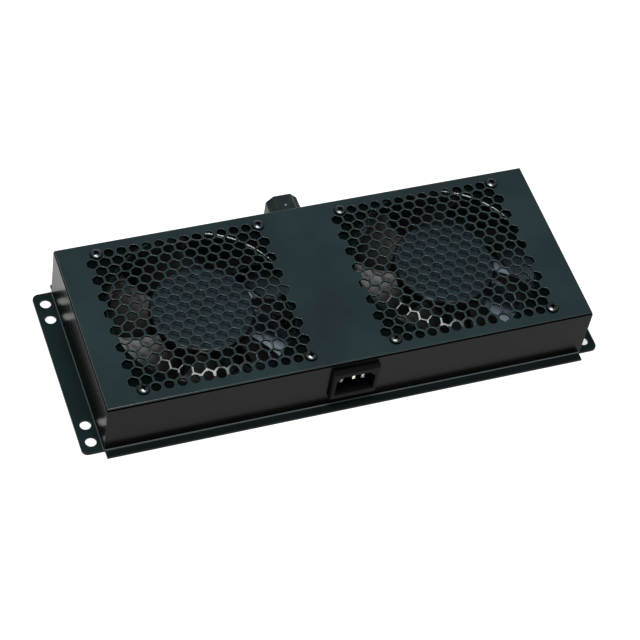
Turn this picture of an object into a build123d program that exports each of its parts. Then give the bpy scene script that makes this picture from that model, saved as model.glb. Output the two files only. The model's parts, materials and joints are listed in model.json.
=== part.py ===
from build123d import *
import os
from math import cos, radians, sin, sqrt, tan

# Rack fan unit: a folded steel box that holds two axial fans under embossed honeycomb grilles,
# with a mains inlet in its front wall and a thermostat knob on its rear wall.
# Millimetres. +Z is up and +Y is the rear.
# The origin is the centre of the mounting face under the flanges.

# sheet-metal box
sheet = 1.5
box_length = 314.0
box_depth = 124.0
box_height = 43.0
panel_inset = 0.4
panel_edge_radius = 0.7
wall_edge_radius = 0.6
bend_radius = 1.0
level_tolerance = 0.01
flange_width = 13.0
flange_corner_radius = 4.0
lip_width = 5.4
lip_inset = 0.6
return_width = 8.0
return_clearance = 0.5

# mounting holes in the side flanges, in pairs at each end
mount_hole_diameter = 7.0
mount_hole_to_wall = 5.9
outer_hole_pitch = 107.6
inner_hole_pitch = 82.4

# honeycomb grilles
fan_spacing = 160.0
cell_pitch = 8.1
row_pitch = 6.55
cell_flats = 6.9
edge_cell_diameter = 6.4
row_count = 17
long_row_cells = 14
edge_row_cells = 12
emboss_base_diameter = 107.0
emboss_top_diameter = 98.0
emboss_rise = 2.2

# fans
fan_size = 119.0
fan_depth = 38.0
fan_corner_radius = 5.0
ear_thickness = 4.0
throat_diameter = 115.0
barrel_wall = 1.9
throat_rim_radius = 1.5
screw_pitch = 105.0
strut_count = 4
strut_turn = 45.0
strut_width = 5.0
strut_height = 5.0
seat_diameter = 60.0
seat_thickness = 3.0
seat_rim_width = 5.0
bearing_tube_wall = 2.0
bearing_tube_height = 27.0
bearing_shoulder = 1.0

# impeller
hub_diameter = 64.5
hub_recess = 1.8
hub_wall = 2.0
hub_edge_radius = 1.5
hub_to_strut = 1.2
blade_count = 7
blade_root_overlap = 4.0
blade_middle_depth = 14.0
blade_tip_overlap = 3.0
blade_turn = (2.0, -8.0, -20.0)
blade_chord = (30.0, 36.0, 42.0)
blade_stagger = (-48.0, -36.0, -27.0)
blade_camber = (3.0, 3.2, 3.0)
blade_tip_gap = 1.2
blade_thickness = 1.6
blade_edge_thickness = 0.8
impeller_turns = {"left": 12.0, "right": 41.0}

# motor
shaft_diameter = 4.0
shaft_clearance = 0.02
bearing_diameter = 11.0
bearing_width = 4.0
shaft_boss_diameter = 10.0
shaft_boss_clearance = 0.6
rotor_ring_thickness = 5.0
rotor_ring_height = 17.0
air_gap = 0.5
stator_height = 14.0
stator_bottom_gap = 5.5
pole_count = 4
pole_neck_width = 9.0
yoke_thickness = 3.5
pole_tip_thickness = 4.5
coil_thickness = 3.0
coil_end_gap = 0.3
clip_thickness = 0.6
clip_width = 1.4
clip_groove = 0.3
clip_mouth = 2.0
clip_clearance = 0.3

# fan screws and nuts, M4
screw_diameter = 4.0
screw_hole_diameter = 4.5
screw_head_diameter = 7.8
screw_head_height = 2.5
screw_crown_drop = 1.4
screw_crown_width = 1.1
cross_width = 1.1
cross_length = 4.4
cross_depth = 1.2
nut_flats = 7.0
nut_height = 3.2
screw_end = 1.3

# mains inlet, 10 A three-pin type
inlet_x = -0.6
inlet_height = 23.7
bezel_width = 30.6
bezel_height = 26.4
bezel_thickness = 3.6
bezel_chamfer = 1.0
inlet_body_width = 27.4
inlet_body_height = 20.2
inlet_body_depth = 21.0
inlet_cutout_clearance = 0.15
cavity_width = 25.0
cavity_height = 16.6
cavity_corner = 5.2
cavity_depth = 17.5
pin_width = 2.0
pin_height = 4.0
pin_pitch = 7.0
pin_drop = 1.8
earth_pin_rise = 1.8
pin_recess = 5.5
earth_pin_recess = 3.7
tab_width = 6.3
tab_thickness = 0.8
tab_length = 8.0
latch_rise = 1.2
latch_height = 8.0
latch_gap = 0.1

# thermostat and knob on the rear wall
knob_height = 20.0
knob_width = 21.0
knob_corner = 4.7
knob_length = 21.5
knob_gap = 0.8
knob_end_chamfer = 1.0
knob_recess_clearance = 0.8
rib_count = 5
rib_pitch = 0.85
rib_depth = 0.35
spindle_diameter = 6.0
spindle_clearance = 0.03
spindle_in_knob = 12.0
spindle_in_thermostat = 8.0
spindle_end_gap = 0.3
pointer_diameter = 1.6
pointer_depth = 0.4
pointer_from_wall = 13.0
bush_diameter = 9.0
bush_clearance = 0.1
bush_nut_flats = 12.0
bush_nut_height = 2.4
bush_end = 0.6
thermostat_width = 26.0
thermostat_depth = 16.0
thermostat_edge_radius = 1.5
thermostat_tab_spread = 12.0

# wiring in the bay between the fans
lead_diameter = 2.4
lead_pair_gap = 0.05
inlet_run = 7.0
thermostat_run = 7.5
fan_tab_length = 6.0
fan_tab_width = 2.8
fan_tab_thickness = 0.8
neutral_tab_height = 14.0
switched_tab_height = 24.0
stud_diameter = 4.0
stud_length = 10.0
ring_thickness = 0.8
ring_diameter = 8.0
ring_clearance = 0.1
ring_tail = 5.0
ring_barrel_diameter = 3.2
ring_barrel_length = 5.5

# levels and places worked out from the sizes above
panel_underside = box_height - sheet
fan_top = panel_underside
fan_bottom = fan_top - fan_depth
wall_inner_x = box_length / 2 - sheet
wall_inner_y = box_depth / 2 - sheet
front_y = -box_depth / 2
rear_y = box_depth / 2
throat_radius = throat_diameter / 2
barrel_radius = throat_radius + barrel_wall
seat_top = fan_bottom + seat_thickness
hub_radius = hub_diameter / 2
hub_top = fan_top - hub_recess
hub_bottom = fan_bottom + strut_height + hub_to_strut
hub_ceiling = hub_top - hub_wall
hub_inner_radius = hub_radius - hub_wall
shaft_radius = shaft_diameter / 2
bearing_radius = bearing_diameter / 2
bearing_tube_radius = bearing_radius + bearing_tube_wall
bearing_tube_top = seat_top + bearing_tube_height
stator_bottom = seat_top + stator_bottom_gap
rotor_ring_inner = hub_inner_radius - rotor_ring_thickness
stator_radius = rotor_ring_inner - air_gap
clip_top = seat_top - clip_clearance
shaft_bottom = fan_bottom + clip_thickness
mount_hole_x = box_length / 2 + mount_hole_to_wall
inlet_front = front_y - bezel_thickness
inlet_back = front_y + inlet_body_depth
knob_front = rear_y + knob_gap
fans = {"left": -fan_spacing / 2, "right": fan_spacing / 2}
outwards = (Align.MIN, Align.CENTER)
half_screw_pitch = screw_pitch / 2
screw_points = [
    (x + dx, dy)
    for x in fans.values()
    for dx in (-half_screw_pitch, half_screw_pitch)
    for dy in (-half_screw_pitch, half_screw_pitch)
]


def row_cells(row):
    """The x of each cell in a row, from the grille's centre; rows alternate by half a pitch."""
    if row in (0, row_count - 1):
        count, first = edge_row_cells, -(edge_row_cells - 1) / 2
    elif row % 2 == 0:
        count, first = long_row_cells, -(long_row_cells - 1) / 2
    else:
        count, first = long_row_cells, -long_row_cells / 2
    return [(first + i) * cell_pitch for i in range(count)]


def cell_points(rows):
    points = []
    for centre in fans.values():
        for row in rows:
            y = ((row_count - 1) / 2 - row) * row_pitch
            points += [(centre + x, y) for x in row_cells(row)]
    return points


def save(part, name):
    part.label = name
    export_step(part, f"parts/{name}.step")


def upright(y):
    """A plane that faces the front at the given y, with its own x and y along X and Z."""
    return Plane.XZ.offset(-y)


def bend_edges(frame, across, distance):
    """The long edges at the foot of the two walls that stand at this distance along X or Y."""
    long_edges = frame.edges().filter_by(lambda e: e.length > box_depth / 2)
    foot_edges = long_edges.filter_by(lambda e: abs(e.center().Z - sheet) < level_tolerance)
    return foot_edges.filter_by(
        lambda e: abs(abs(getattr(e.center(), across)) - distance) < level_tolerance
    )


def radial(centre_x, turn, radius, level):
    """A plane that faces outwards from a fan's axis, with its own y upwards."""
    out = Vector(cos(radians(turn)), sin(radians(turn)), 0)
    side = Vector(-out.Y, out.X, 0)
    return Plane(origin=Vector(centre_x, 0, level) + out * radius, x_dir=side, z_dir=out)


os.makedirs("parts", exist_ok=True)

# The top panel: one sheet with two raised round pressings, pierced with rows of hexagonal cells.
# The first and last rows, between the screws, are punched round.
with BuildPart() as top_panel:
    with BuildSketch(Plane.XY.offset(panel_underside)):
        Rectangle(box_length - 2 * panel_inset, box_depth - 2 * panel_inset)
    extrude(amount=sheet)
    fillet(top_panel.faces().sort_by(Axis.Z)[-1].outer_wire().edges(), panel_edge_radius)
    for level, mode in ((box_height, Mode.ADD), (panel_underside, Mode.SUBTRACT)):
        with Locations(*[(x, 0, level) for x in fans.values()]):
            Cone(
                emboss_base_diameter / 2,
                emboss_top_diameter / 2,
                emboss_rise,
                align=(Align.CENTER, Align.CENTER, Align.MIN),
                mode=mode,
            )
    with BuildSketch(Plane.XY.offset(panel_underside)):
        with Locations(*cell_points(range(1, row_count - 1))):
            RegularPolygon(cell_flats / 2, 6, major_radius=False, rotation=30)
        with Locations(*cell_points((0, row_count - 1))):
            Circle(edge_cell_diameter / 2)
        with Locations(*screw_points):
            Circle(screw_hole_diameter / 2)
    extrude(amount=sheet + emboss_rise, mode=Mode.SUBTRACT)
save(top_panel.part, "top_panel")

# The wall frame: four walls, folded out at the bottom into two mounting flanges and two narrow lips,
# and folded in at the top of the end walls to carry the panel.
with BuildPart() as wall_frame:
    with BuildSketch():
        with BuildSketch(mode=Mode.PRIVATE) as flanges:
            Rectangle(box_length + 2 * flange_width, box_depth)
            fillet(flanges.vertices(), flange_corner_radius)
        add(flanges.sketch)
        Rectangle(box_length - 2 * lip_inset, box_depth + 2 * lip_width)
        for pitch in (outer_hole_pitch, inner_hole_pitch):
            with GridLocations(2 * mount_hole_x, pitch, 2, 2):
                Circle(mount_hole_diameter / 2, mode=Mode.SUBTRACT)
    extrude(amount=sheet)
    with BuildSketch():
        Rectangle(box_length, box_depth)
    extrude(amount=panel_underside)
    fillet(wall_frame.edges().group_by(Axis.Z)[-1], wall_edge_radius)
    with BuildSketch():
        Rectangle(2 * wall_inner_x, 2 * wall_inner_y)
    extrude(amount=panel_underside, mode=Mode.SUBTRACT)
    fillet(bend_edges(wall_frame, "X", box_length / 2), bend_radius)
    fillet(bend_edges(wall_frame, "Y", box_depth / 2), bend_radius)
    foot = wall_frame.faces().sort_by(Axis.Z)[0].inner_wires().sort_by(lambda w: w.length)[-1]
    fillet(foot.edges(), bend_radius)
    with BuildSketch(Plane.XY.offset(panel_underside)):
        with GridLocations(2 * wall_inner_x - return_width, 0, 2, 1):
            Rectangle(return_width, 2 * wall_inner_y - 2 * return_clearance)
    extrude(amount=-sheet)
    with BuildSketch(upright(front_y)):
        with Locations((inlet_x, inlet_height)):
            Rectangle(
                inlet_body_width + 2 * inlet_cutout_clearance,
                inlet_body_height + 2 * inlet_cutout_clearance,
            )
    extrude(amount=-sheet, mode=Mode.SUBTRACT)
    with BuildSketch(upright(rear_y)):
        with Locations((0, knob_height)):
            Circle(bush_diameter / 2 + bush_clearance)
    extrude(amount=sheet, mode=Mode.SUBTRACT)
save(wall_frame.part, "wall_frame")

# One blade, as three sections across it: inside the hub, half way out, and beyond the throat.
# Each has its turn about the axis, its chord, its stagger from the fan's plane and its camber.
# The negative stagger makes the clockwise edge the upper one, and the blade sweeps clockwise outwards.
blade_level = (hub_bottom + hub_top) / 2
blade_radius = (
    hub_inner_radius - blade_root_overlap,
    throat_radius - blade_middle_depth,
    throat_radius + blade_tip_overlap,
)
with BuildPart() as blade:
    for radius, turn, chord, stagger, camber in zip(
        blade_radius, blade_turn, blade_chord, blade_stagger, blade_camber
    ):
        along = Vector(cos(radians(stagger)), sin(radians(stagger)))
        across = Vector(-along.Y, along.X)
        tip = along * (chord / 2)
        edge = across * (blade_edge_thickness / 2)
        crown = across * (camber + blade_thickness / 2)
        hollow = across * (camber - blade_thickness / 2)
        with BuildSketch(radial(0, turn, radius, blade_level)):
            with BuildLine():
                back = ThreePointArc(tip + edge, crown, -tip + edge)
                face = ThreePointArc(tip - edge, hollow, -tip - edge)
                Line(back @ 0, face @ 0)
                Line(back @ 1, face @ 1)
            make_face()
    loft()

for side, fan_x in fans.items():
    base = Plane((fan_x, 0, 0))

    # The fan frame: square ears at both faces and a round barrel between them.
    with BuildPart() as fan_frame:
        for level in (fan_bottom, fan_top - ear_thickness):
            with BuildSketch(base.offset(level)) as ears:
                Rectangle(fan_size, fan_size)
                fillet(ears.vertices(), fan_corner_radius)
                with GridLocations(screw_pitch, screw_pitch, 2, 2):
                    Circle(screw_hole_diameter / 2, mode=Mode.SUBTRACT)
            extrude(amount=ear_thickness)
        with BuildSketch(base.offset(fan_bottom)):
            Circle(barrel_radius)
        extrude(amount=fan_depth)
        with BuildSketch(base.offset(fan_bottom)):
            Circle(throat_radius)
        extrude(amount=fan_depth, mode=Mode.SUBTRACT)
        throat_rim = fan_frame.faces().sort_by(Axis.Z)[-1].inner_wires().sort_by(lambda w: w.length)[-1]
        fillet(throat_rim.edges(), throat_rim_radius)
    save(fan_frame.part, f"fan_frame_{side}")

    # The motor bracket of the same casting: a seat with a bearing tube, held in the barrel by four struts.
    with BuildPart() as motor_bracket:
        with BuildSketch(base.offset(fan_bottom)):
            Circle(seat_diameter / 2)
        extrude(amount=seat_thickness)
        with BuildSketch(base.offset(fan_bottom)):
            with PolarLocations(0, strut_count, start_angle=strut_turn):
                Rectangle(barrel_radius, strut_width, align=outwards)
            Circle(throat_radius, mode=Mode.INTERSECT)
        extrude(amount=strut_height)
        with BuildSketch(base.offset(seat_top)):
            Circle(seat_diameter / 2 - seat_rim_width)
        extrude(amount=strut_height, mode=Mode.SUBTRACT)
        with BuildSketch(base.offset(seat_top)):
            Circle(bearing_tube_radius)
        extrude(amount=bearing_tube_height)
        with BuildSketch(base.offset(seat_top)):
            Circle(bearing_radius)
        extrude(amount=bearing_tube_height, mode=Mode.SUBTRACT)
        with BuildSketch(base.offset(fan_bottom)):
            Circle(bearing_radius - bearing_shoulder)
        extrude(amount=seat_thickness, mode=Mode.SUBTRACT)
    save(motor_bracket.part, f"motor_bracket_{side}")

    # The two ball bearings, plain rings here, at the ends of the tube.
    with BuildPart() as bearings:
        for level in (seat_top, bearing_tube_top - bearing_width):
            with BuildSketch(base.offset(level)):
                Circle(bearing_radius)
                Circle(shaft_radius + shaft_clearance, mode=Mode.SUBTRACT)
            extrude(amount=bearing_width)
    save(bearings.part, f"bearings_{side}")

    # The laminated stator on the bearing tube, with four poles.
    with BuildPart() as stator:
        with BuildSketch(base.offset(stator_bottom)):
            Circle(stator_radius)
            Circle(stator_radius - pole_tip_thickness, mode=Mode.SUBTRACT)
            with PolarLocations(0, pole_count, start_angle=180 / pole_count):
                Rectangle(2 * stator_radius, pole_neck_width, align=outwards, mode=Mode.SUBTRACT)
            with PolarLocations(0, pole_count):
                Rectangle(stator_radius - pole_tip_thickness / 2, pole_neck_width, align=outwards)
            Circle(bearing_tube_radius + yoke_thickness)
            Circle(bearing_tube_radius, mode=Mode.SUBTRACT)
        extrude(amount=stator_height)
    save(stator.part, f"stator_{side}")

    # The four coils round the pole necks.
    coil_half_width = pole_neck_width / 2 + coil_thickness
    coil_start = bearing_tube_radius + yoke_thickness + coil_end_gap
    coil_end = sqrt((stator_radius - pole_tip_thickness) ** 2 - coil_half_width**2) - coil_end_gap
    with BuildPart() as coils:
        for pole in range(pole_count):
            turn = pole * 360 / pole_count
            with BuildSketch(radial(fan_x, turn, coil_start, stator_bottom + stator_height / 2)):
                Rectangle(2 * coil_half_width, stator_height + 2 * coil_thickness)
                Rectangle(pole_neck_width, stator_height, mode=Mode.SUBTRACT)
            extrude(amount=coil_end - coil_start)
    save(coils.part, f"coils_{side}")

    # The impeller: a hub cup with a shaft boss under its ceiling, and blades trimmed to the throat.
    with BuildPart() as impeller:
        with Locations((fan_x, 0)):
            with PolarLocations(0, blade_count, start_angle=impeller_turns[side]):
                add(blade.part)
        with BuildSketch(base.offset(hub_bottom)):
            Circle(hub_radius)
        extrude(amount=hub_top - hub_bottom)
        fillet(impeller.faces().sort_by(Axis.Z)[-1].edges(), hub_edge_radius)
        with BuildSketch(base.offset(hub_bottom)):
            Circle(hub_inner_radius)
        extrude(amount=hub_ceiling - hub_bottom, mode=Mode.SUBTRACT)
        with BuildSketch(base.offset(hub_ceiling)):
            Circle(shaft_boss_diameter / 2)
            Circle(shaft_radius, mode=Mode.SUBTRACT)
        extrude(amount=bearing_tube_top + shaft_boss_clearance - hub_ceiling)
        with BuildSketch(base.offset(hub_bottom)):
            Circle(2 * throat_radius)
            Circle(throat_radius - blade_tip_gap, mode=Mode.SUBTRACT)
        extrude(amount=hub_top - hub_bottom, mode=Mode.SUBTRACT)
    save(impeller.part, f"impeller_{side}")

    # The steel rotor ring pressed into the hub.
    with BuildPart() as rotor_ring:
        with BuildSketch(base.offset(stator_bottom + stator_height / 2 - rotor_ring_height / 2)):
            Circle(hub_inner_radius)
            Circle(rotor_ring_inner, mode=Mode.SUBTRACT)
        extrude(amount=rotor_ring_height)
    save(rotor_ring.part, f"rotor_ring_{side}")

    # The shaft, pressed into the boss, with a groove for its clip.
    with BuildPart() as shaft:
        with BuildSketch(base.offset(shaft_bottom)):
            Circle(shaft_radius)
        extrude(amount=hub_ceiling - shaft_bottom)
        with BuildSketch(base.offset(clip_top)):
            Circle(shaft_radius)
            Circle(shaft_radius - clip_groove, mode=Mode.SUBTRACT)
        extrude(amount=-clip_thickness, mode=Mode.SUBTRACT)
    save(shaft.part, f"fan_shaft_{side}")

    # The open clip under the lower bearing, which holds the shaft down.
    with BuildPart() as clip:
        with BuildSketch(base.offset(clip_top)):
            Circle(shaft_radius + clip_width)
            Circle(shaft_radius - clip_groove, mode=Mode.SUBTRACT)
            Rectangle(2 * shaft_diameter, clip_mouth, align=outwards, mode=Mode.SUBTRACT)
        extrude(amount=-clip_thickness)
    save(clip.part, f"shaft_clip_{side}")

    # Two connection tabs on the side of the barrel that faces the wiring bay.
    with BuildPart() as fan_tabs:
        inward = 1 if fan_x < 0 else -1
        tab_root = fan_x + inward * barrel_radius
        for level in (neutral_tab_height, switched_tab_height):
            with BuildSketch(Plane((tab_root, 0, level), x_dir=(0, 1, 0), z_dir=(inward, 0, 0))):
                Rectangle(fan_tab_thickness, fan_tab_width)
            extrude(amount=fan_tab_length)
    save(fan_tabs.part, f"fan_tabs_{side}")

# Eight cross-recessed pan-head screws through the panel and the fans' upper ears.
nut_bottom = fan_top - ear_thickness - nut_height
with BuildPart() as fan_screws:
    with BuildSketch(Plane.XY.offset(box_height)):
        with Locations(*screw_points):
            Circle(screw_head_diameter / 2)
    extrude(amount=screw_head_height)
    chamfer(fan_screws.faces().group_by(Axis.Z)[-1].edges(), screw_crown_drop, screw_crown_width)
    with BuildSketch(Plane.XY.offset(box_height + screw_head_height)):
        with Locations(*screw_points):
            Rectangle(cross_length, cross_width)
            Rectangle(cross_width, cross_length)
    extrude(amount=-cross_depth, mode=Mode.SUBTRACT)
    with BuildSketch(Plane.XY.offset(box_height)):
        with Locations(*screw_points):
            Circle(screw_diameter / 2)
    extrude(amount=nut_bottom - screw_end - box_height)
save(fan_screws.part, "fan_screws")

with BuildPart() as fan_nuts:
    with BuildSketch(Plane.XY.offset(nut_bottom)):
        with Locations(*screw_points):
            RegularPolygon(nut_flats / 2, 6, major_radius=False)
            Circle(screw_diameter / 2, mode=Mode.SUBTRACT)
    extrude(amount=nut_height)
save(fan_nuts.part, "fan_nuts")

# The mains inlet: a bevelled bezel outside the wall, a body through it, and a cavity with two cut corners.
pin_level = inlet_height - pin_drop
earth_level = inlet_height + earth_pin_rise
pins = {
    "live": (inlet_x - pin_pitch, pin_level, pin_recess),
    "earth": (inlet_x, earth_level, earth_pin_recess),
    "neutral": (inlet_x + pin_pitch, pin_level, pin_recess),
}
with BuildPart() as mains_inlet:
    with BuildSketch(upright(front_y)):
        with Locations((inlet_x, inlet_height)):
            Rectangle(bezel_width, bezel_height)
    extrude(amount=bezel_thickness)
    chamfer(mains_inlet.faces().sort_by(Axis.Y)[0].edges(), bezel_chamfer)
    with BuildSketch(upright(front_y)):
        with Locations((inlet_x, inlet_height)):
            Rectangle(inlet_body_width, inlet_body_height)
    extrude(amount=-inlet_body_depth)
    with BuildSketch(upright(inlet_front)) as cavity:
        with Locations((inlet_x, inlet_height)):
            Rectangle(cavity_width, cavity_height)
        chamfer(cavity.vertices().group_by(Axis.Y)[-1], cavity_corner)
    extrude(amount=-cavity_depth, mode=Mode.SUBTRACT)
    with BuildSketch(upright(inlet_back)):
        with Locations(*[(pin_x, level) for pin_x, level, recess in pins.values()]):
            Rectangle(pin_width, pin_height)
    extrude(amount=inlet_body_depth + bezel_thickness, mode=Mode.SUBTRACT)
    latch_start = front_y + sheet + latch_gap
    for latch_side in (-1, 1):
        with BuildSketch(Plane((inlet_x, 0, inlet_height))):
            with BuildLine():
                Polyline(
                    (latch_side * inlet_body_width / 2, latch_start),
                    (latch_side * (inlet_body_width / 2 + latch_rise), latch_start),
                    (latch_side * inlet_body_width / 2, inlet_back),
                    close=True,
                )
            make_face()
        extrude(amount=latch_height / 2, both=True)
save(mains_inlet.part, "mains_inlet")

for name, (pin_x, level, recess) in pins.items():
    with BuildPart() as pin:
        with BuildSketch(upright(inlet_back)):
            with Locations((pin_x, level)):
                Rectangle(pin_width, pin_height)
        extrude(amount=inlet_body_depth + bezel_thickness - recess)
        with BuildSketch(upright(inlet_back)):
            with Locations((pin_x, level)):
                Rectangle(tab_thickness, tab_width)
        extrude(amount=-tab_length)
    save(pin.part, f"{name}_pin")

# The thermostat: a moulded body inside the rear wall, its threaded bush through the wall, and two tabs.
thermostat_back = wall_inner_y - thermostat_depth
bush_tip = rear_y + bush_nut_height + bush_end
with BuildPart() as thermostat:
    with BuildSketch(upright(wall_inner_y)) as case:
        with Locations((0, knob_height)):
            Rectangle(thermostat_width, thermostat_width)
        fillet(case.vertices(), thermostat_edge_radius)
    extrude(amount=thermostat_depth)
    with BuildSketch(upright(wall_inner_y)):
        with Locations((0, knob_height)):
            Circle(bush_diameter / 2)
    extrude(amount=wall_inner_y - bush_tip)
    with BuildSketch(upright(bush_tip)):
        with Locations((0, knob_height)):
            Circle(spindle_diameter / 2 + spindle_clearance)
    extrude(amount=bush_tip - wall_inner_y + spindle_in_thermostat + spindle_end_gap, mode=Mode.SUBTRACT)
save(thermostat.part, "thermostat")

with BuildPart() as thermostat_tabs:
    with BuildSketch(upright(thermostat_back)):
        with Locations((0, knob_height)):
            with GridLocations(thermostat_tab_spread, 0, 2, 1):
                Rectangle(tab_thickness, tab_width)
    extrude(amount=tab_length)
save(thermostat_tabs.part, "thermostat_tabs")

with BuildPart() as bush_nut:
    with BuildSketch(upright(rear_y)):
        with Locations((0, knob_height)):
            RegularPolygon(bush_nut_flats / 2, 6, major_radius=False)
            Circle(bush_diameter / 2, mode=Mode.SUBTRACT)
    extrude(amount=-bush_nut_height)
save(bush_nut.part, "bush_nut")

# The knob: a square with cut corners, grooved along them for grip, hollow at the wall to clear the nut.
recess_radius = bush_nut_flats / 2 / cos(radians(30)) + knob_recess_clearance
recess_floor = bush_tip + knob_recess_clearance
spindle_tip = recess_floor + spindle_in_knob
corner_distance = (knob_width - knob_corner) * sin(radians(45))
knob_top = knob_height + knob_width / 2
with BuildPart() as knob:
    with BuildSketch(upright(knob_front)) as outline:
        with Locations((0, knob_height)):
            Rectangle(knob_width, knob_width)
        chamfer(outline.vertices(), knob_corner)
    extrude(amount=-knob_length)
    chamfer(knob.faces().sort_by(Axis.Y)[-1].edges(), knob_end_chamfer)
    with BuildSketch(upright(knob_front)):
        with Locations((0, knob_height)):
            with PolarLocations(corner_distance, 4, start_angle=45):
                with GridLocations(0, rib_pitch, 1, rib_count):
                    Rectangle(rib_depth / sin(radians(45)), rib_depth / sin(radians(45)), rotation=45)
    extrude(amount=-knob_length, mode=Mode.SUBTRACT)
    with BuildSketch(upright(knob_front)):
        with Locations((0, knob_height)):
            Circle(recess_radius)
    extrude(amount=knob_front - recess_floor, mode=Mode.SUBTRACT)
    with BuildSketch(upright(recess_floor)):
        with Locations((0, knob_height)):
            Circle(spindle_diameter / 2)
    extrude(amount=-spindle_in_knob, mode=Mode.SUBTRACT)
    with BuildSketch(Plane.XY.offset(knob_top)):
        with Locations((0, rear_y + pointer_from_wall)):
            Circle(pointer_diameter / 2)
    extrude(amount=-pointer_depth, mode=Mode.SUBTRACT)
save(knob.part, "knob")

with BuildPart() as knob_pointer:
    with BuildSketch(Plane.XY.offset(knob_top)):
        with Locations((0, rear_y + pointer_from_wall)):
            Circle(pointer_diameter / 2)
    extrude(amount=-pointer_depth)
save(knob_pointer.part, "knob_pointer")

with BuildPart() as spindle:
    with BuildSketch(upright(wall_inner_y - spindle_in_thermostat)):
        with Locations((0, knob_height)):
            Circle(spindle_diameter / 2)
    extrude(amount=wall_inner_y - spindle_in_thermostat - spindle_tip)
save(spindle.part, "knob_spindle")

# The earth point under the panel: a welded stud, a ring terminal and a nut.
with BuildPart() as earth_stud:
    with BuildSketch(Plane.XY.offset(panel_underside)):
        Circle(stud_diameter / 2)
    extrude(amount=-stud_length)
save(earth_stud.part, "earth_stud")

barrel_level = panel_underside - ring_barrel_diameter / 2
with BuildPart() as earth_ring:
    with BuildSketch(Plane.XY.offset(panel_underside)):
        Circle(ring_diameter / 2)
        Rectangle(ring_tail, ring_barrel_diameter, rotation=-90, align=outwards)
        Circle(stud_diameter / 2 + ring_clearance, mode=Mode.SUBTRACT)
    extrude(amount=-ring_thickness)
    with BuildSketch(upright(-ring_tail)):
        with Locations((0, barrel_level)):
            Circle(ring_barrel_diameter / 2)
    extrude(amount=ring_barrel_length)
save(earth_ring.part, "earth_ring")

with BuildPart() as earth_nut:
    with BuildSketch(Plane.XY.offset(panel_underside - ring_thickness)):
        RegularPolygon(nut_flats / 2, 6, major_radius=False)
        Circle(stud_diameter / 2, mode=Mode.SUBTRACT)
    extrude(amount=-nut_height)
save(earth_nut.part, "earth_nut")

# The internal leads, each from the end of one tab to the end of the next; two share a tab side by side.
inlet_tab_y = inlet_back + tab_length
thermostat_tab_y = thermostat_back - tab_length
fan_tab_x = fan_spacing / 2 - barrel_radius - fan_tab_length
half_pair = lead_diameter / 2 + lead_pair_gap
lead_routes = {
    "lead_live": (
        (inlet_x - pin_pitch, inlet_tab_y, pin_level),
        (inlet_x - pin_pitch, inlet_tab_y + inlet_run, pin_level),
        (-10.5, -10, 31),
        (-10.5, 10, 31),
        (-thermostat_tab_spread / 2, thermostat_tab_y - thermostat_run, knob_height),
        (-thermostat_tab_spread / 2, thermostat_tab_y, knob_height),
    ),
    "lead_neutral_right": (
        (inlet_x + pin_pitch, inlet_tab_y, pin_level + half_pair),
        (inlet_x + pin_pitch, inlet_tab_y + inlet_run, pin_level + half_pair),
        (7, -10, 15.5),
        (8, 0, neutral_tab_height),
        (fan_tab_x, 0, neutral_tab_height),
    ),
    "lead_neutral_left": (
        (inlet_x + pin_pitch, inlet_tab_y, pin_level - half_pair),
        (inlet_x + pin_pitch, inlet_tab_y + inlet_run, pin_level - half_pair),
        (0, -12, 13),
        (-8, 0, neutral_tab_height),
        (-fan_tab_x, 0, neutral_tab_height),
    ),
    "lead_switched_right": (
        (thermostat_tab_spread / 2, thermostat_tab_y, knob_height + half_pair),
        (thermostat_tab_spread / 2, thermostat_tab_y - thermostat_run, knob_height + half_pair),
        (7, 12, 25),
        (8, 0, switched_tab_height),
        (fan_tab_x, 0, switched_tab_height),
    ),
    "lead_switched_left": (
        (thermostat_tab_spread / 2, thermostat_tab_y, knob_height - half_pair),
        (thermostat_tab_spread / 2, thermostat_tab_y - thermostat_run, knob_height - half_pair),
        (0, 14, 23),
        (-8, 0, switched_tab_height),
        (-fan_tab_x, 0, switched_tab_height),
    ),
    "lead_earth": (
        (inlet_x, inlet_tab_y, earth_level),
        (inlet_x, inlet_tab_y + inlet_run, earth_level),
        (0, -ring_tail - ring_barrel_length - inlet_run, barrel_level),
        (0, -ring_tail - ring_barrel_length, barrel_level),
    ),
}


def bend_radii(points):
    """The arc at each corner of a lead: 0.45 of the shorter run, divided by the tangent of half the turn."""
    radii = []
    for before, corner, after in zip(points, points[1:], points[2:]):
        run_in, run_out = corner - before, after - corner
        turn = radians(run_in.get_angle(run_out))
        radii.append(0.45 * min(run_in.length, run_out.length) / tan(turn / 2))
    return radii


for name, route in lead_routes.items():
    points = [Vector(*point) for point in route]
    radii = bend_radii(points)
    print(name, "bend radii", [round(radius, 1) for radius in radii])
    with BuildPart() as lead:
        with BuildLine() as path:
            FilletPolyline(*points, radius=radii)
        with BuildSketch(Plane(origin=points[0], z_dir=points[1] - points[0])):
            Circle(lead_diameter / 2)
        sweep(path=path.wires()[0])
    save(lead.part, name)
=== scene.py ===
import json
from math import cos, pi, radians, sin

import bpy
import bmesh
from mathutils import Matrix, Vector


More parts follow.
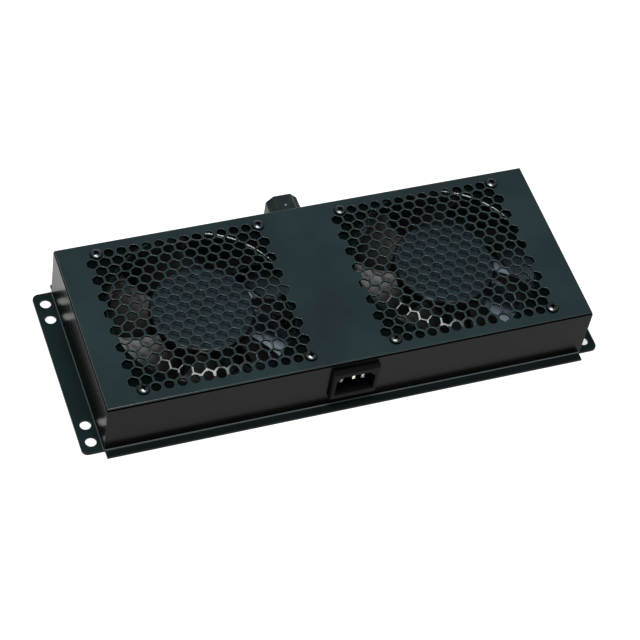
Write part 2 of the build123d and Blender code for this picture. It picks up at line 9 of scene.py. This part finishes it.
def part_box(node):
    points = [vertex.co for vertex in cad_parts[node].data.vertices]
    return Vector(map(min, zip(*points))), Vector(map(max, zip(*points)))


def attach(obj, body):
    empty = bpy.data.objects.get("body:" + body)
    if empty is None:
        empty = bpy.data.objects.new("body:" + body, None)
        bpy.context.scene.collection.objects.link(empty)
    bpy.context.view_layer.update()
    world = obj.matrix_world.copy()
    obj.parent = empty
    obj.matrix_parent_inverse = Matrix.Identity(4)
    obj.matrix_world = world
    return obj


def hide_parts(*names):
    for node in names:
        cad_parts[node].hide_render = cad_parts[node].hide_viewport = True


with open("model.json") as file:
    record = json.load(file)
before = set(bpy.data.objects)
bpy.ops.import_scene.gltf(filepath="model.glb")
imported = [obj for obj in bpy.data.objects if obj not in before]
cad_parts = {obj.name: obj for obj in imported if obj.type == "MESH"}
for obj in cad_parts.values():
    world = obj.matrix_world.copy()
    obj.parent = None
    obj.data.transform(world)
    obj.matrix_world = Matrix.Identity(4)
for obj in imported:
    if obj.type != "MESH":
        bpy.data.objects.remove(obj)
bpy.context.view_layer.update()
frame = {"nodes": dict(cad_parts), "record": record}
cadNodes = frame["nodes"]
record = frame["record"]
mm = 0.001
weld = 0.002 * mm  # corners nearer than this are one
bodyOf = {node: body for body, members in record["behaviour"]["bodies"].items() for node in members}
slotOf = {part["node"]: part["material_slot"] for part in record["subparts"]}
print("frame: the packed model has", len(cadNodes), "nodes")


# a colour written as sRGB hex, turned to linear
def srgb(code):
    parts = [int(code[i:i + 2], 16) / 255 for i in (0, 2, 4)]
    return [p / 12.92 if p <= 0.04045 else ((p + 0.055) / 1.055) ** 2.4 for p in parts] + [1.0]


# settings go to the node's sockets, by name or number, or else to the node itself
def addNode(material, kind, settings=None, links=None):
    node = material.node_tree.nodes.new(kind)
    for name, value in (settings or {}).items():
        if isinstance(name, int) or name in node.inputs:
            node.inputs[name].default_value = value
        else:
            setattr(node, name, value)
    for name, source in (links or {}).items():
        material.node_tree.links.new(source, node.inputs[name])
    return node


def feedShader(material, sources):
    shader = material.node_tree.nodes["Principled BSDF"]
    for socket, source in sources.items():
        material.node_tree.links.new(source, shader.inputs[socket])


# what all finishes share: the part of the clouds' range that blends the two shades, how finely clouds and
# grain break up, the rays that soften an edge, how far an edge bends until its painted highlight is full, and
# the black of the painted shadow band
makeUp = {
    "cloudRange": (0.35, 0.65), "cloudDetail": 4.0, "grainDetail": 2.0, "edgeRays": 6, "paleFrom": 0.8,
    "shadeBlack": "030303",
}


# painted light and shade: the finish has lighter shades where a face lies level, a painted light from above,
# as the photo shows teal there and a warmer black on upright faces; the narrow lips at front and rear look
# darker, so as a painted shade they get only a share of it; where a finish asks for it, level faces turn to
# dark metal instead, a painted shade
def paintedLevelShading(material, look, place, spread, upright):
    normal = addNode(material, "ShaderNodeTexCoord").outputs["Normal"]
    facing = addNode(material, "ShaderNodeSeparateXYZ", links={"Vector": normal})
    level = addNode(
        material,
        "ShaderNodeMapRange",
        {"From Min": look["levelFrom"], "From Max": look["levelFrom"] + look["levelOver"]},
        {"Value": facing.outputs["Z"]},
    )
    if "lips" in look:
        spot = addNode(material, "ShaderNodeSeparateXYZ", links={"Vector": place})
        outwards = addNode(material, "ShaderNodeMath", {"operation": "ABSOLUTE"}, {0: spot.outputs["Y"]})
        share = addNode(
            material,
            "ShaderNodeMapRange",
            {"From Min": look["lips"][0], "From Max": look["lips"][1], "To Min": look["lipLightShare"]},
            {"Value": outwards.outputs[0]},
        )
        level = addNode(
            material,
            "ShaderNodeMath",
            {"operation": "MULTIPLY"},
            {0: level.outputs[0], 1: share.outputs[0]},
        )
    flat = addNode(
        material,
        "ShaderNodeMixRGB",
        {"Color1": srgb(look["levelPaintedDark"]), "Color2": srgb(look["levelPaintedLight"])},
        {"Fac": spread.outputs["Result"]},
    )
    if "levelShadeMetal" in look:
        feedShader(material, {"Metallic": level.outputs[0]})
    return addNode(
        material,
        "ShaderNodeMixRGB",
        links={"Fac": level.outputs[0], "Color1": upright.outputs["Color"], "Color2": flat.outputs["Color"]},
    )


# painted highlight: webs, rims and folds look paler than the flat sheet in the photo, where their eased edges
# catch the light; the finish turns pale where the softened normal leaves the face's own
def paleEdges(material, look, softened, coat):
    straight = addNode(material, "ShaderNodeNewGeometry").outputs["True Normal"]
    flatness = addNode(
        material,
        "ShaderNodeVectorMath",
        {"operation": "DOT_PRODUCT"},
        {0: softened.outputs["Normal"], 1: straight},
    )
    bend = addNode(
        material,
        "ShaderNodeMapRange",
        {"From Min": 1.0, "From Max": makeUp["paleFrom"], "To Max": look["paleShare"]},
        {"Value": flatness.outputs["Value"]},
    )
    return addNode(
        material,
        "ShaderNodeMixRGB",
        {"Color2": srgb(look["pale"])},
        {"Fac": bend.outputs["Result"], "Color1": coat.outputs["Color"]},
    )


# painted highlight: the photo shows a pale line along the foot of the walls, where the fold catches the
# light;
# it is as high as the first number of the fold, and reaches as far up and down as the second
def paintedFoldHighlight(material, look, place, coat):
    height = addNode(material, "ShaderNodeSeparateXYZ", links={"Vector": place})
    near = addNode(
        material,
        "ShaderNodeMath",
        {"operation": "COMPARE", 1: look["fold"][0], 2: look["fold"][1]},
        {0: height.outputs["Z"]},
    )
    return addNode(
        material,
        "ShaderNodeMixRGB",
        {"Color2": srgb(look["foldHighlight"])},
        {"Fac": near.outputs[0], "Color1": coat.outputs["Color"]},
    )


# painted shadow: cell sides, the joint under the panel's edge and the recess and foot of a screw lie in shade
# and are dull and nearly black in the photo: from one height to the other the finish gives way to dark metal
# without gloss
def paintedShadeBand(material, look, place, coat, gloss):
    height = addNode(material, "ShaderNodeSeparateXYZ", links={"Vector": place})
    depth = addNode(
        material,
        "ShaderNodeMapRange",
        {"From Min": look["shadeBand"][0], "From Max": look["shadeBand"][1]},
        {"Value": height.outputs["Z"]},
    )
    if "Metallic" not in look:
        feedShader(material, {"Metallic": depth.outputs["Result"]})
    shadeBlack = addNode(
        material,
        "ShaderNodeMixRGB",
        {"Color2": srgb(makeUp["shadeBlack"])},
        {"Fac": depth.outputs["Result"], "Color1": coat.outputs["Color"]},
    )
    dull = addNode(
        material,
        "ShaderNodeMath",
        {"operation": "MAXIMUM"},
        {0: gloss.outputs["Result"], 1: depth.outputs["Result"]},
    )
    return shadeBlack, dull


# every finish is built the same way: slow clouds between two shades, a fine grain in the relief, and the
# same grain in the gloss; stretch draws the grain out along an axis, as a tool or a die does, and edge is the
# radius that coating or casting leaves on a corner
def surface(name, look):
    material = bpy.data.materials.new(name)
    material.use_nodes = True
    shader = material.node_tree.nodes["Principled BSDF"]
    for socket in ("Metallic", "Specular IOR Level", "Coat Weight", "Coat Roughness"):
        if socket in look:
            shader.inputs[socket].default_value = look[socket]
    place = addNode(material, "ShaderNodeTexCoord").outputs["Object"]
    stretched = addNode(
        material, "ShaderNodeMapping", {"Scale": look.get("stretch", (1, 1, 1))}, {"Vector": place}
    )
    clouds = addNode(
        material,
        "ShaderNodeTexNoise",
        {"Scale": 1 / look["cloudSize"], "Detail": makeUp["cloudDetail"]},
        {"Vector": place},
    )
    spread = addNode(
        material,
        "ShaderNodeMapRange",
        {"From Min": makeUp["cloudRange"][0], "From Max": makeUp["cloudRange"][1]},
        {"Value": clouds.outputs["Fac"]},
    )
    shades = addNode(
        material,
        "ShaderNodeMixRGB",
        {"Color1": srgb(look["dark"]), "Color2": srgb(look["light"])},
        {"Fac": spread.outputs["Result"]},
    )
    grain = addNode(
        material,
        "ShaderNodeTexNoise",
        {"Scale": 1 / look["grainSize"], "Detail": makeUp["grainDetail"]},
        {"Vector": stretched.outputs["Vector"]},
    )
    gloss = addNode(
        material,
        "ShaderNodeMapRange",
        {"To Min": look["roughness"][0], "To Max": look["roughness"][1]},
        {"Value": grain.outputs["Fac"]},
    )
    relief = addNode(
        material,
        "ShaderNodeBump",
        {"Strength": look["reliefStrength"], "Distance": look["grainDepth"]},
        {"Height": grain.outputs["Fac"]},
    )
    if "edge" in look:
        softened = addNode(
            material, "ShaderNodeBevel", {"samples": makeUp["edgeRays"], "Radius": look["edge"]}
        )
        material.node_tree.links.new(softened.outputs["Normal"], relief.inputs["Normal"])
    # painted light and shade that a finish may add: lighter level faces, edge and fold highlights, a shadow
    # band
    if "levelPaintedDark" in look:
        shades = paintedLevelShading(material, look, place, spread, shades)
    if "pale" in look:
        shades = paleEdges(material, look, softened, shades)
    if "fold" in look:
        shades = paintedFoldHighlight(material, look, place, shades)
    if "shadeBand" in look:
        shades, gloss = paintedShadeBand(material, look, place, shades, gloss)
    feedShader(material, {
        "Base Color": shades.outputs[0], "Roughness": gloss.outputs[0], "Normal": relief.outputs["Normal"],
    })
    return material


# polyester powder coat baked on steel: dark teal-black, satin, with the slight orange peel of the melt
powderCoat = surface("powderCoatTealBlack", {
    "dark": "122125", "light": "1c2e31", "cloudSize": 60 * mm, "edge": 0.55 * mm,
    # a painted highlight on its eased edges and webs, and a painted shadow on cell sides and the joint under
    # its edge
    "shadeBand": (42.6 * mm, 42.2 * mm), "pale": "5a6365", "paleShare": 0.8,
    "roughness": (0.23, 0.29), "grainSize": 0.9 * mm, "grainDepth": 0.03 * mm, "reliefStrength": 0.35,
})
# the same coat on the walls: it looks warmer and darker on upright faces than on level ones, where the level
# faces get painted light from above and the lips painted shade, and it mirrors next to nothing; the band
# under the panel is a painted shadow, and edges and the foot of the walls get a painted highlight
wallCoat = surface("powderCoatWarmBlack", {
    "dark": "0b0a0a", "light": "100f0e", "cloudSize": 45 * mm, "edge": 0.35 * mm, "Specular IOR Level": 0.06,
    "levelPaintedDark": "141f20", "levelPaintedLight": "1a282a", "levelFrom": 0.5, "levelOver": 0.4,
    "lips": (62.3 * mm, 61.9 * mm), "lipLightShare": 0.4, "shadeBand": (40.6 * mm, 41.2 * mm),
    "pale": "3e4446", "paleShare": 0.8, "fold": (2.1 * mm, 0.38 * mm), "foldHighlight": "5c6668",
    "roughness": (0.20, 0.27), "grainSize": 0.9 * mm, "grainDepth": 0.03 * mm, "reliefStrength": 0.3,
})
# black stoving enamel over an aluminium die casting: the casting's skin shows through as a soft ripple, and
# faces that lie level under the panel get a painted shade, as dark as the photo shows them, and mirror next
# to nothing
enamelledCasting = surface("enamelledDieCasting", {
    "dark": "070e0f", "light": "0c1516", "cloudSize": 12 * mm, "edge": 0.4 * mm, "Specular IOR Level": 0.75,
    "levelPaintedDark": "141c1e", "levelPaintedLight": "1c2628", "levelFrom": 0.93, "levelOver": 0.05, "levelShadeMetal": True,
    "roughness": (0.17, 0.26), "grainSize": 1.6 * mm, "grainDepth": 0.03 * mm, "reliefStrength": 0.4,
})
# glass-filled PBT, injection moulded: satin, and as in the photo blue-grey on the hub's level face and nearly
# black on the blades; the hub's blue-grey is a painted light from above
glassFilledPbt = surface("glassFilledPbt", {
    "dark": "060606", "light": "0e0d0d", "cloudSize": 18 * mm, "edge": 0.3 * mm, "Specular IOR Level": 0.42,
    "levelPaintedDark": "0c1d23", "levelPaintedLight": "152930", "levelFrom": 0.93, "levelOver": 0.05,
    "roughness": (0.40, 0.50), "grainSize": 0.7 * mm, "grainDepth": 0.02 * mm, "reliefStrength": 0.3,
})
# low-carbon steel turned on a lathe, oiled: rings of the tool round the axis
turnedSteel = surface("turnedSteel", {
    "dark": "8b8d8e", "light": "a3a5a6", "cloudSize": 8 * mm, "Metallic": 1.0,
    "roughness": (0.25, 0.45), "grainSize": 0.5 * mm, "grainDepth": 0.02 * mm, "reliefStrength": 0.4,
    "stretch": (0.1, 0.1, 1),
})
# ground shaft steel: nearly a mirror, with the finest lines across its length
groundSteel = surface("groundSteel", {
    "dark": "b4b6b8", "light": "c4c6c8", "cloudSize": 6 * mm, "Metallic": 1.0,
    "roughness": (0.12, 0.22), "grainSize": 0.3 * mm, "grainDepth": 0.005 * mm, "reliefStrength": 0.3,
    "stretch": (0.1, 0.1, 1),
})
# blackened spring steel, oil quenched: dark, with a soft brown-blue cast
springSteel = surface("blackenedSpringSteel", {
    "dark": "2b2a2c", "light": "3a3a3e", "cloudSize": 2 * mm, "Metallic": 1.0,
    "roughness": (0.3, 0.45), "grainSize": 0.4 * mm, "grainDepth": 0.01 * mm, "reliefStrength": 0.3,
})
# black nickel over a machine screw: a dark mirror that turns white where it faces a lamp; the recess and the
# foot of the head get a painted shadow
blackNickel = surface("blackNickelPlate", {
    "dark": "565a5c", "light": "666a6d", "cloudSize": 3 * mm, "Metallic": 1.0, "shadeBand": (44.7 * mm, 44.2 * mm),
    "roughness": (0.26, 0.34), "grainSize": 0.4 * mm, "grainDepth": 0.004 * mm, "reliefStrength": 0.3,
})
# bright zinc plate with a blue passivation, barrel plated: fine crystals dull the mirror a little
zincPlate = surface("blueZincPlate", {
    "dark": "a9b1ba", "light": "bfc5cb", "cloudSize": 2.5 * mm, "Metallic": 1.0,
    "roughness": (0.22, 0.36), "grainSize": 0.25 * mm, "grainDepth": 0.006 * mm, "reliefStrength": 0.4,
})
# black thermoplastic polyamide, moulded against a spark-eroded tool: a fine matt grain all over
sparkedPolyamide = surface("sparkedPolyamide", {
    "dark": "080809", "light": "0c0c0d", "cloudSize": 9 * mm, "Specular IOR Level": 0.06,
    "roughness": (0.5, 0.65), "grainSize": 0.35 * mm, "grainDepth": 0.02 * mm, "reliefStrength": 0.6,
})
# nickel over brass, stamped: bright, and faintly yellow
nickelPlate = surface("nickelPlatedBrass", {
    "dark": "dedace", "light": "ebe8df", "cloudSize": 2 * mm, "Metallic": 1.0,
    "roughness": (0.28, 0.38), "grainSize": 0.3 * mm, "grainDepth": 0.004 * mm, "reliefStrength": 0.3,
})
# hot-tinned brass: soft grey with the brass just showing through
tinnedBrass = surface("tinnedBrass", {
    "dark": "b3a884", "light": "c4bda6", "cloudSize": 1.5 * mm, "Metallic": 1.0,
    "roughness": (0.28, 0.42), "grainSize": 0.3 * mm, "grainDepth": 0.008 * mm, "reliefStrength": 0.4,
})
# phenolic resin, compression moulded with wood flour: brown-black with a faint speckle
phenolic = surface("phenolicMoulding", {
    "dark": "1b1714", "light": "2a2420", "cloudSize": 0.9 * mm,
    "roughness": (0.32, 0.46), "grainSize": 0.5 * mm, "grainDepth": 0.01 * mm, "reliefStrength": 0.3,
})
# ABS for the knob, black with the slightest green, moulded with a soft satin skin
satinAbs = surface("satinAbs", {
    "dark": "162021", "light": "1d2a2b", "cloudSize": 10 * mm, "Specular IOR Level": 0.3,
    "roughness": (0.4, 0.52), "grainSize": 0.5 * mm, "grainDepth": 0.015 * mm, "reliefStrength": 0.4,
})
# pale pad-print ink in the pointer's dimple
pointerInk = surface("pointerInk", {
    "dark": "6c7677", "light": "7a8485", "cloudSize": 0.5 * mm,
    "roughness": (0.4, 0.5), "grainSize": 0.2 * mm, "grainDepth": 0.005 * mm, "reliefStrength": 0.3,
})
# plasticised PVC drawn over stranded copper: smooth along the lead, with the strands' faint ripple
pvcLook = {
    "cloudSize": 6 * mm, "roughness": (0.3, 0.4), "grainSize": 1.2 * mm, "grainDepth": 0.04 * mm,
    "reliefStrength": 0.3,
}
brownPvc = surface("brownPvc", {**pvcLook, "dark": "5a2f1c", "light": "693924"})
bluePvc = surface("bluePvc", {**pvcLook, "dark": "1f4f94", "light": "2a5ca4"})


# green PVC with two yellow stripes along the lead, on opposite sides of it
def stripedPvc():
    stripe = {"yellow": "d8c12a", "across": (0.45, 0.55, 0.7), "from": 0.42, "to": 0.48}
    material = surface("greenYellowPvc", {**pvcLook, "dark": "2f7d2b", "light": "3a8c33"})
    turned = addNode(
        material,
        "ShaderNodeVectorMath",
        {"operation": "DOT_PRODUCT", 1: stripe["across"]},
        {0: addNode(material, "ShaderNodeTexCoord").outputs["Normal"]},
    )
    bothSides = addNode(material, "ShaderNodeMath", {"operation": "ABSOLUTE"}, {0: turned.outputs["Value"]})
    share = addNode(
        material,
        "ShaderNodeMapRange",
        {"From Min": stripe["from"], "From Max": stripe["to"]},
        {"Value": bothSides.outputs["Value"]},
    )
    green = material.node_tree.nodes["Principled BSDF"].inputs["Base Color"].links[0].from_socket
    colours = addNode(
        material,
        "ShaderNodeMixRGB",
        {"Color2": srgb(stripe["yellow"])},
        {"Fac": share.outputs["Result"], "Color1": green},
    )
    feedShader(material, {"Base Color": colours.outputs["Color"]})
    return material


# ridges across a piece, in place of its grain: a wave texture of scale 1 repeats after a tenth of pi
def ridged(material, ridges):
    waves = addNode(
        material,
        "ShaderNodeTexWave",
        {"bands_direction": ridges["along"], "Scale": pi / 10 / ridges["every"]},
        {"Vector": addNode(material, "ShaderNodeTexCoord").outputs["Object"]},
    )
    relief = addNode(
        material,
        "ShaderNodeBump",
        {"Strength": ridges["strength"], "Distance": ridges["depth"]},
        {"Height": waves.outputs["Fac"]},
    )
    feedShader(material, {"Normal": relief.outputs["Normal"]})
    return material


# electrical steel stamped 0.5 mm thick and stacked: the edges of the sheets show as lines up the stack
laminatedSteel = ridged(surface("laminatedSteel", {
    "dark": "5e6265", "light": "70757a", "cloudSize": 5 * mm, "Metallic": 1.0,
    "roughness": (0.35, 0.5), "grainSize": 0.4 * mm, "grainDepth": 0.01 * mm, "reliefStrength": 0.3,
}), {"along": "Z", "every": 0.5 * mm, "depth": 0.05 * mm, "strength": 0.8})
# enamelled copper wire of about 0.5 mm, wound in layers round the poles and dipped in varnish
woundCopper = ridged(surface("enamelledCopperWinding", {
    "dark": "6d2a12", "light": "9a4a22", "cloudSize": 2 * mm, "Coat Weight": 0.6, "Coat Roughness": 0.15,
    "roughness": (0.25, 0.4), "grainSize": 0.5 * mm, "grainDepth": 0.01 * mm, "reliefStrength": 0.3,
}), {"along": "DIAGONAL", "every": 0.5 * mm, "depth": 0.2 * mm, "strength": 0.9})

finishes = {
    "top_panel": powderCoat,
    "wall_frame": wallCoat,
    "fan_frame": enamelledCasting,
    "impeller": glassFilledPbt,
    "rotor_steel": turnedSteel,
    "shaft_steel": groundSteel,
    "bearing_steel": groundSteel,
    "stator_steel": laminatedSteel,
    "coil": woundCopper,
    "clip_steel": springSteel,
    "screw": blackNickel,
    "zinc_nut": zincPlate,
    "inlet_plastic": sparkedPolyamide,
    "pin_brass": nickelPlate,
    "tab_brass": tinnedBrass,
    "thermostat_plastic": phenolic,
    "knob_plastic": satinAbs,
    "pointer_paint": pointerInk,
    "lead_live": brownPvc,
    "lead_neutral": bluePvc,
    "lead_earth": stripedPvc(),
}
for node, piece in cadNodes.items():
    if piece.material_slots:
        piece.material_slots[0].material = finishes[slotOf[node]]
    else:
        piece.data.materials.append(finishes[slotOf[node]])
print("finishes:", len(finishes), "slots have their material")


def laidOut(name, shape):
    mesh = bpy.data.meshes.new(name)
    shape.to_mesh(mesh)
    shape.free()
    piece = bpy.data.objects.new(name, mesh)
    bpy.context.scene.collection.objects.link(piece)
    return piece


def addPiece(name, shape, node):
    piece = laidOut(name, shape)
    piece.data.materials.clear()
    piece.data.materials.append(finishes[slotOf[node]])
    for polygon in piece.data.polygons:
        polygon.use_smooth = True
    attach(piece, bodyOf[node])
    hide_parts(node)
    return piece


# the cavity's two cut corners are drawn a little smaller, so that all three pins show past them: their ends
# slide along the cavity's own walls; the numbers are in millimetres
def openCutCorners(shape, cut):
    middleX, middleZ = cut["middle"]
    for corner in shape.verts:
        x, z = corner.co.x / mm - middleX, corner.co.z / mm - middleZ
        if max(abs(abs(x) - cut["side"][0]), abs(z - cut["side"][1])) < cut["within"]:
            corner.co.z += cut["by"] * mm
        elif max(abs(abs(x) - cut["top"][0]), abs(z - cut["top"][1])) < cut["within"]:
            corner.co.x += cut["by"] * mm * (1 if x > 0 else -1)


# a copy of a CAD piece with its corners eased, as moulding, stamping and deburring leave them; the flat faces
# keep their own normals, so that only the eased corners catch the light
def easedCopy(node, name, settings):
    shape = bmesh.new()
    shape.from_mesh(cadNodes[node].data)
    bmesh.ops.remove_doubles(shape, verts=shape.verts, dist=weld)
    bmesh.ops.dissolve_limit(
        shape,
        angle_limit=radians(settings["flatWithin"]),
        use_dissolve_boundaries=False,
        verts=shape.verts,
        edges=shape.edges,
        delimit=set(),
    )
    if "cutCorner" in settings:
        openCutCorners(shape, settings["cutCorner"])
    sharp = radians(settings["sharpFrom"])
    corners = [e for e in shape.edges if len(e.link_faces) == 2 and e.calc_face_angle() > sharp]
    bmesh.ops.bevel(
        shape,
        geom=corners,
        offset=settings["radius"],
        offset_type="OFFSET",
        segments=settings["steps"],
        profile=0.5,
        affect="EDGES",
        clamp_overlap=True,
        material=-1,
    )
    piece = addPiece(name, shape, node)
    normals = piece.modifiers.new("flatFaces", "WEIGHTED_NORMAL")
    normals.weight = settings["flatWeight"]
    normals.keep_sharp = False


easing = {"flatWithin": 0.5, "sharpFrom": 28, "steps": 3, "flatWeight": 100}
eased = {
    "mains_inlet": ("mainsInlet", 0.5 * mm),
    "live_pin": ("livePin", 0.8 * mm),
    "neutral_pin": ("neutralPin", 0.8 * mm),
    "earth_pin": ("earthPin", 0.8 * mm),
    "knob": ("knobCap", 0.12 * mm),
    "thermostat": ("thermostatCase", 0.3 * mm),
    "fan_nuts": ("fanNuts", 0.3 * mm),
    "bush_nut": ("bushNut", 0.3 * mm),
    "earth_nut": ("earthNut", 0.3 * mm),
}
cutCorners = {
    "mains_inlet": {
        "middle": (-0.6, 23.7), "side": (12.5, 3.1), "top": (7.3, 8.3), "within": 0.02, "by": 1.2,
    },
}
for node, (name, radius) in eased.items():
    extra = {"cutCorner": cutCorners[node]} if node in cutCorners else {}
    easedCopy(node, name, {**easing, "radius": radius, **extra})
print("eased copies:", len(eased), "pieces have softened corners")


# pan-head machine screws in millimetres and degrees: a crowned head, a cross recess that tapers to its foot,
# and a rolled thread; a wedge's first two numbers are its length and width at the top, the others at the foot
screwLook = {
    "head": [
        (0.0, 2.5), (1.3, 2.45), (2.0, 2.24), (2.6, 1.97), (3.2, 1.64), (3.7, 1.2), (4.0, 0.75), (3.95, 0.4),
        (3.4, 0.0),
    ],
    "shankRadius": 1.98, "threadDepth": 0.3, "pitch": 0.7, "pointLength": 0.6, "turns": 36,
    "wedges": [(5.4, 1.4, 3.0, 0.8), (1.4, 5.4, 0.8, 3.0), (2.0, 2.0, 1.1, 1.1)],
    "punchTop": 3.1, "punchFoot": 0.8,
    "across": (-132.5, -27.5, 27.5, 132.5), "along": (-52.5, 52.5), "turned": (12, 38, -8, 5, 40, 24, -15, 8),
    "crease": 28,
}


def screwBlank(look, length):
    crest, root = look["shankRadius"], look["shankRadius"] - look["threadDepth"]
    profile = list(look["head"])
    drop = 0.0
    while drop + look["pitch"] < length - look["pointLength"]:
        profile += [(crest, -drop), (root, -drop - look["pitch"] / 2)]
        drop += look["pitch"]
    profile += [(crest, -drop), (root, -length), (0.0, -length)]
    shape = bmesh.new()
    line = [shape.verts.new((r * mm, 0, z * mm)) for r, z in profile]
    outline = [shape.edges.new(pair) for pair in zip(line, line[1:])]
    bmesh.ops.spin(
        shape,
        geom=line + outline,
        cent=(0, 0, 0),
        axis=(0, 0, 1),
        angle=2 * pi,
        steps=look["turns"],
        use_merge=True,
    )
    bmesh.ops.remove_doubles(shape, verts=shape.verts, dist=weld)
    bmesh.ops.recalc_face_normals(shape, faces=shape.faces)
    return shape


# the punch that strikes the recess: two crossed wedges, and a third for the pit where they meet
def crossPunch(look):
    shape = bmesh.new()
    for length, width, footLength, footWidth in look["wedges"]:
        for corner in bmesh.ops.create_cube(shape, size=2.0)["verts"]:  # its corners lie at one metre
            top = corner.co.z > 0
            corner.co.x *= (length if top else footLength) / 2 * mm
            corner.co.y *= (width if top else footWidth) / 2 * mm
            corner.co.z = (look["punchTop"] if top else look["punchFoot"]) * mm
    return shape


def fanScrews(look):
    low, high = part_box("fan_screws")
    seat = high.z - look["head"][0][1] * mm
    blank = laidOut("screwBlank", screwBlank(look, (seat - low.z) / mm))
    punch = laidOut("crossPunch", crossPunch(look))
    strike = blank.modifiers.new("strike", "BOOLEAN")
    strike.operation = "DIFFERENCE"
    strike.solver = "EXACT"
    strike.use_self = True
    strike.object = punch
    struck = bpy.data.meshes.new_from_object(blank.evaluated_get(bpy.context.evaluated_depsgraph_get()))
    bpy.data.objects.remove(blank)
    bpy.data.objects.remove(punch)
    shape = bmesh.new()
    places = [(x, y) for x in look["across"] for y in look["along"]]
    for (x, y), turn in zip(places, look["turned"]):
        shape.from_mesh(struck)
        shape.verts.ensure_lookup_table()
        screw = shape.verts[-len(struck.vertices):]
        turning = Matrix.Rotation(radians(turn), 3, "Z")
        bmesh.ops.rotate(shape, verts=screw, cent=(0, 0, 0), matrix=turning)
        bmesh.ops.translate(shape, verts=screw, vec=(x * mm, y * mm, seat))
    return shape


screws = addPiece("fanScrews", fanScrews(screwLook), "fan_screws")
creases = screws.modifiers.new("creases", "EDGE_SPLIT")
creases.split_angle = radians(screwLook["crease"])
print("screws:", len(screwLook["turned"]), "pan heads with a cross recess")


# the camera stands where the photographer's did: distances and lens in millimetres, angles in degrees, and
# what is nearer or farther than the clip's two numbers, in metres, isn't drawn
view = {
    "aim": (-4.7, -11.5, 20.0), "azimuth": -27.923, "elevation": 51.598, "roll": 11.53,
    "distance": 1380.2, "lens": 124.42, "sensor": 36, "clip": (0.05, 30),
}
around, rise, roll = (radians(view[angle]) for angle in ("azimuth", "elevation", "roll"))
backwards = Vector((sin(around) * cos(rise), -cos(around) * cos(rise), sin(rise)))
sideways = Vector((0, 0, 1)).cross(backwards).normalized()
overhead = backwards.cross(sideways)
rightwards = sideways * cos(roll) + overhead * sin(roll)
upwards = backwards.cross(rightwards)
stand = Vector(view["aim"]) * mm + backwards * view["distance"] * mm
cameraData = bpy.data.cameras.new("camera")
cameraData.lens = view["lens"]
cameraData.sensor_width = view["sensor"]
cameraData.clip_start, cameraData.clip_end = view["clip"]
camera = bpy.data.objects.new("camera", cameraData)
bpy.context.scene.collection.objects.link(camera)
attitude = Matrix((rightwards, upwards, backwards)).transposed().to_4x4()
camera.matrix_world = Matrix.Translation(stand) @ attitude
bpy.context.scene.camera = camera
print("camera: at", [round(c, 3) for c in stand])

# a strip softbox overhead, aimed at the middle of the box
strip = {"at": (-0.18, -0.22, 1.2), "size": (0.84, 0.22), "watts": 14.2, "colour": "ffffff"}
stripLight = bpy.data.lights.new("strip", "AREA")
stripLight.shape = "RECTANGLE"
stripLight.size, stripLight.size_y = strip["size"]
stripLight.energy = strip["watts"]
stripLight.color = srgb(strip["colour"])[:3]
lamp = bpy.data.objects.new("strip", stripLight)
bpy.context.scene.collection.objects.link(lamp)
lamp.location = strip["at"]
lamp.rotation_euler = (-Vector(strip["at"])).to_track_quat("-Z", "Y").to_euler()

sky = {"colour": "e2e8ec", "strength": 0.3}
world = bpy.data.worlds.new("studio")
bpy.context.scene.world = world
world.use_nodes = True
background = world.node_tree.nodes["Background"]
background.inputs["Color"].default_value = srgb(sky["colour"])
background.inputs["Strength"].default_value = sky["strength"]


def flatSheet(name, sheet):
    shape = bmesh.new()
    bmesh.ops.create_grid(shape, x_segments=1, y_segments=1, size=0.5)  # a metre square until it is scaled
    bmesh.ops.scale(shape, verts=shape.verts, vec=(*sheet["size"], 1))
    bmesh.ops.translate(shape, verts=shape.verts, vec=(0, 0, sheet["height"]))
    piece = laidOut(name, shape)
    material = bpy.data.materials.new(sheet["material"])
    material.use_nodes = True
    shader = material.node_tree.nodes["Principled BSDF"]
    shader.inputs["Base Color"].default_value = srgb(sheet["colour"])
    shader.inputs["Roughness"].default_value = sheet["roughness"]
    piece.data.materials.append(material)
    return piece


# the floor glows a little for the camera and in mirrors, so it shows white and still takes the shadow
floorLook = {
    "material": "paleFloorPaint", "colour": "f2f2f2", "roughness": 0.9, "size": (12.0, 12.0),
    "height": -0.3 * mm, "glow": 0.4, "glowColour": "ffffff",
}
floor = flatSheet("floor", floorLook)
paint = floor.data.materials[0]
rays = addNode(paint, "ShaderNodeLightPath")
direct = addNode(
    paint,
    "ShaderNodeMath",
    {"operation": "MAXIMUM"},
    {0: rays.outputs["Is Camera Ray"], 1: rays.outputs["Is Glossy Ray"]},
)
seen = addNode(
    paint,
    "ShaderNodeMath",
    {"operation": "MAXIMUM"},
    {0: direct.outputs[0], 1: rays.outputs["Is Transmission Ray"]},
)
glow = addNode(paint, "ShaderNodeMath", {"operation": "MULTIPLY", 1: floorLook["glow"]}, {0: seen.outputs[0]})
feedShader(paint, {"Emission Strength": glow.outputs[0]})
floorShader = paint.node_tree.nodes["Principled BSDF"]
floorShader.inputs["Emission Color"].default_value = srgb(floorLook["glowColour"])

# painted shade: a sheet of blue-grey card on the floor inside the walls stands in for the shade under the
# box, so that what lies under the fans stays dim
shadeCardLook = {
    "material": "paintedShadeCard", "colour": "8494a0", "roughness": 0.9, "size": (0.31, 0.12), "height": -0.15 * mm,
}
shadeCard = flatSheet("shadeCard", shadeCardLook)

bpy.context.scene.view_settings.view_transform = "Standard"
print("studio: lamp, sky, floor and card are in place")
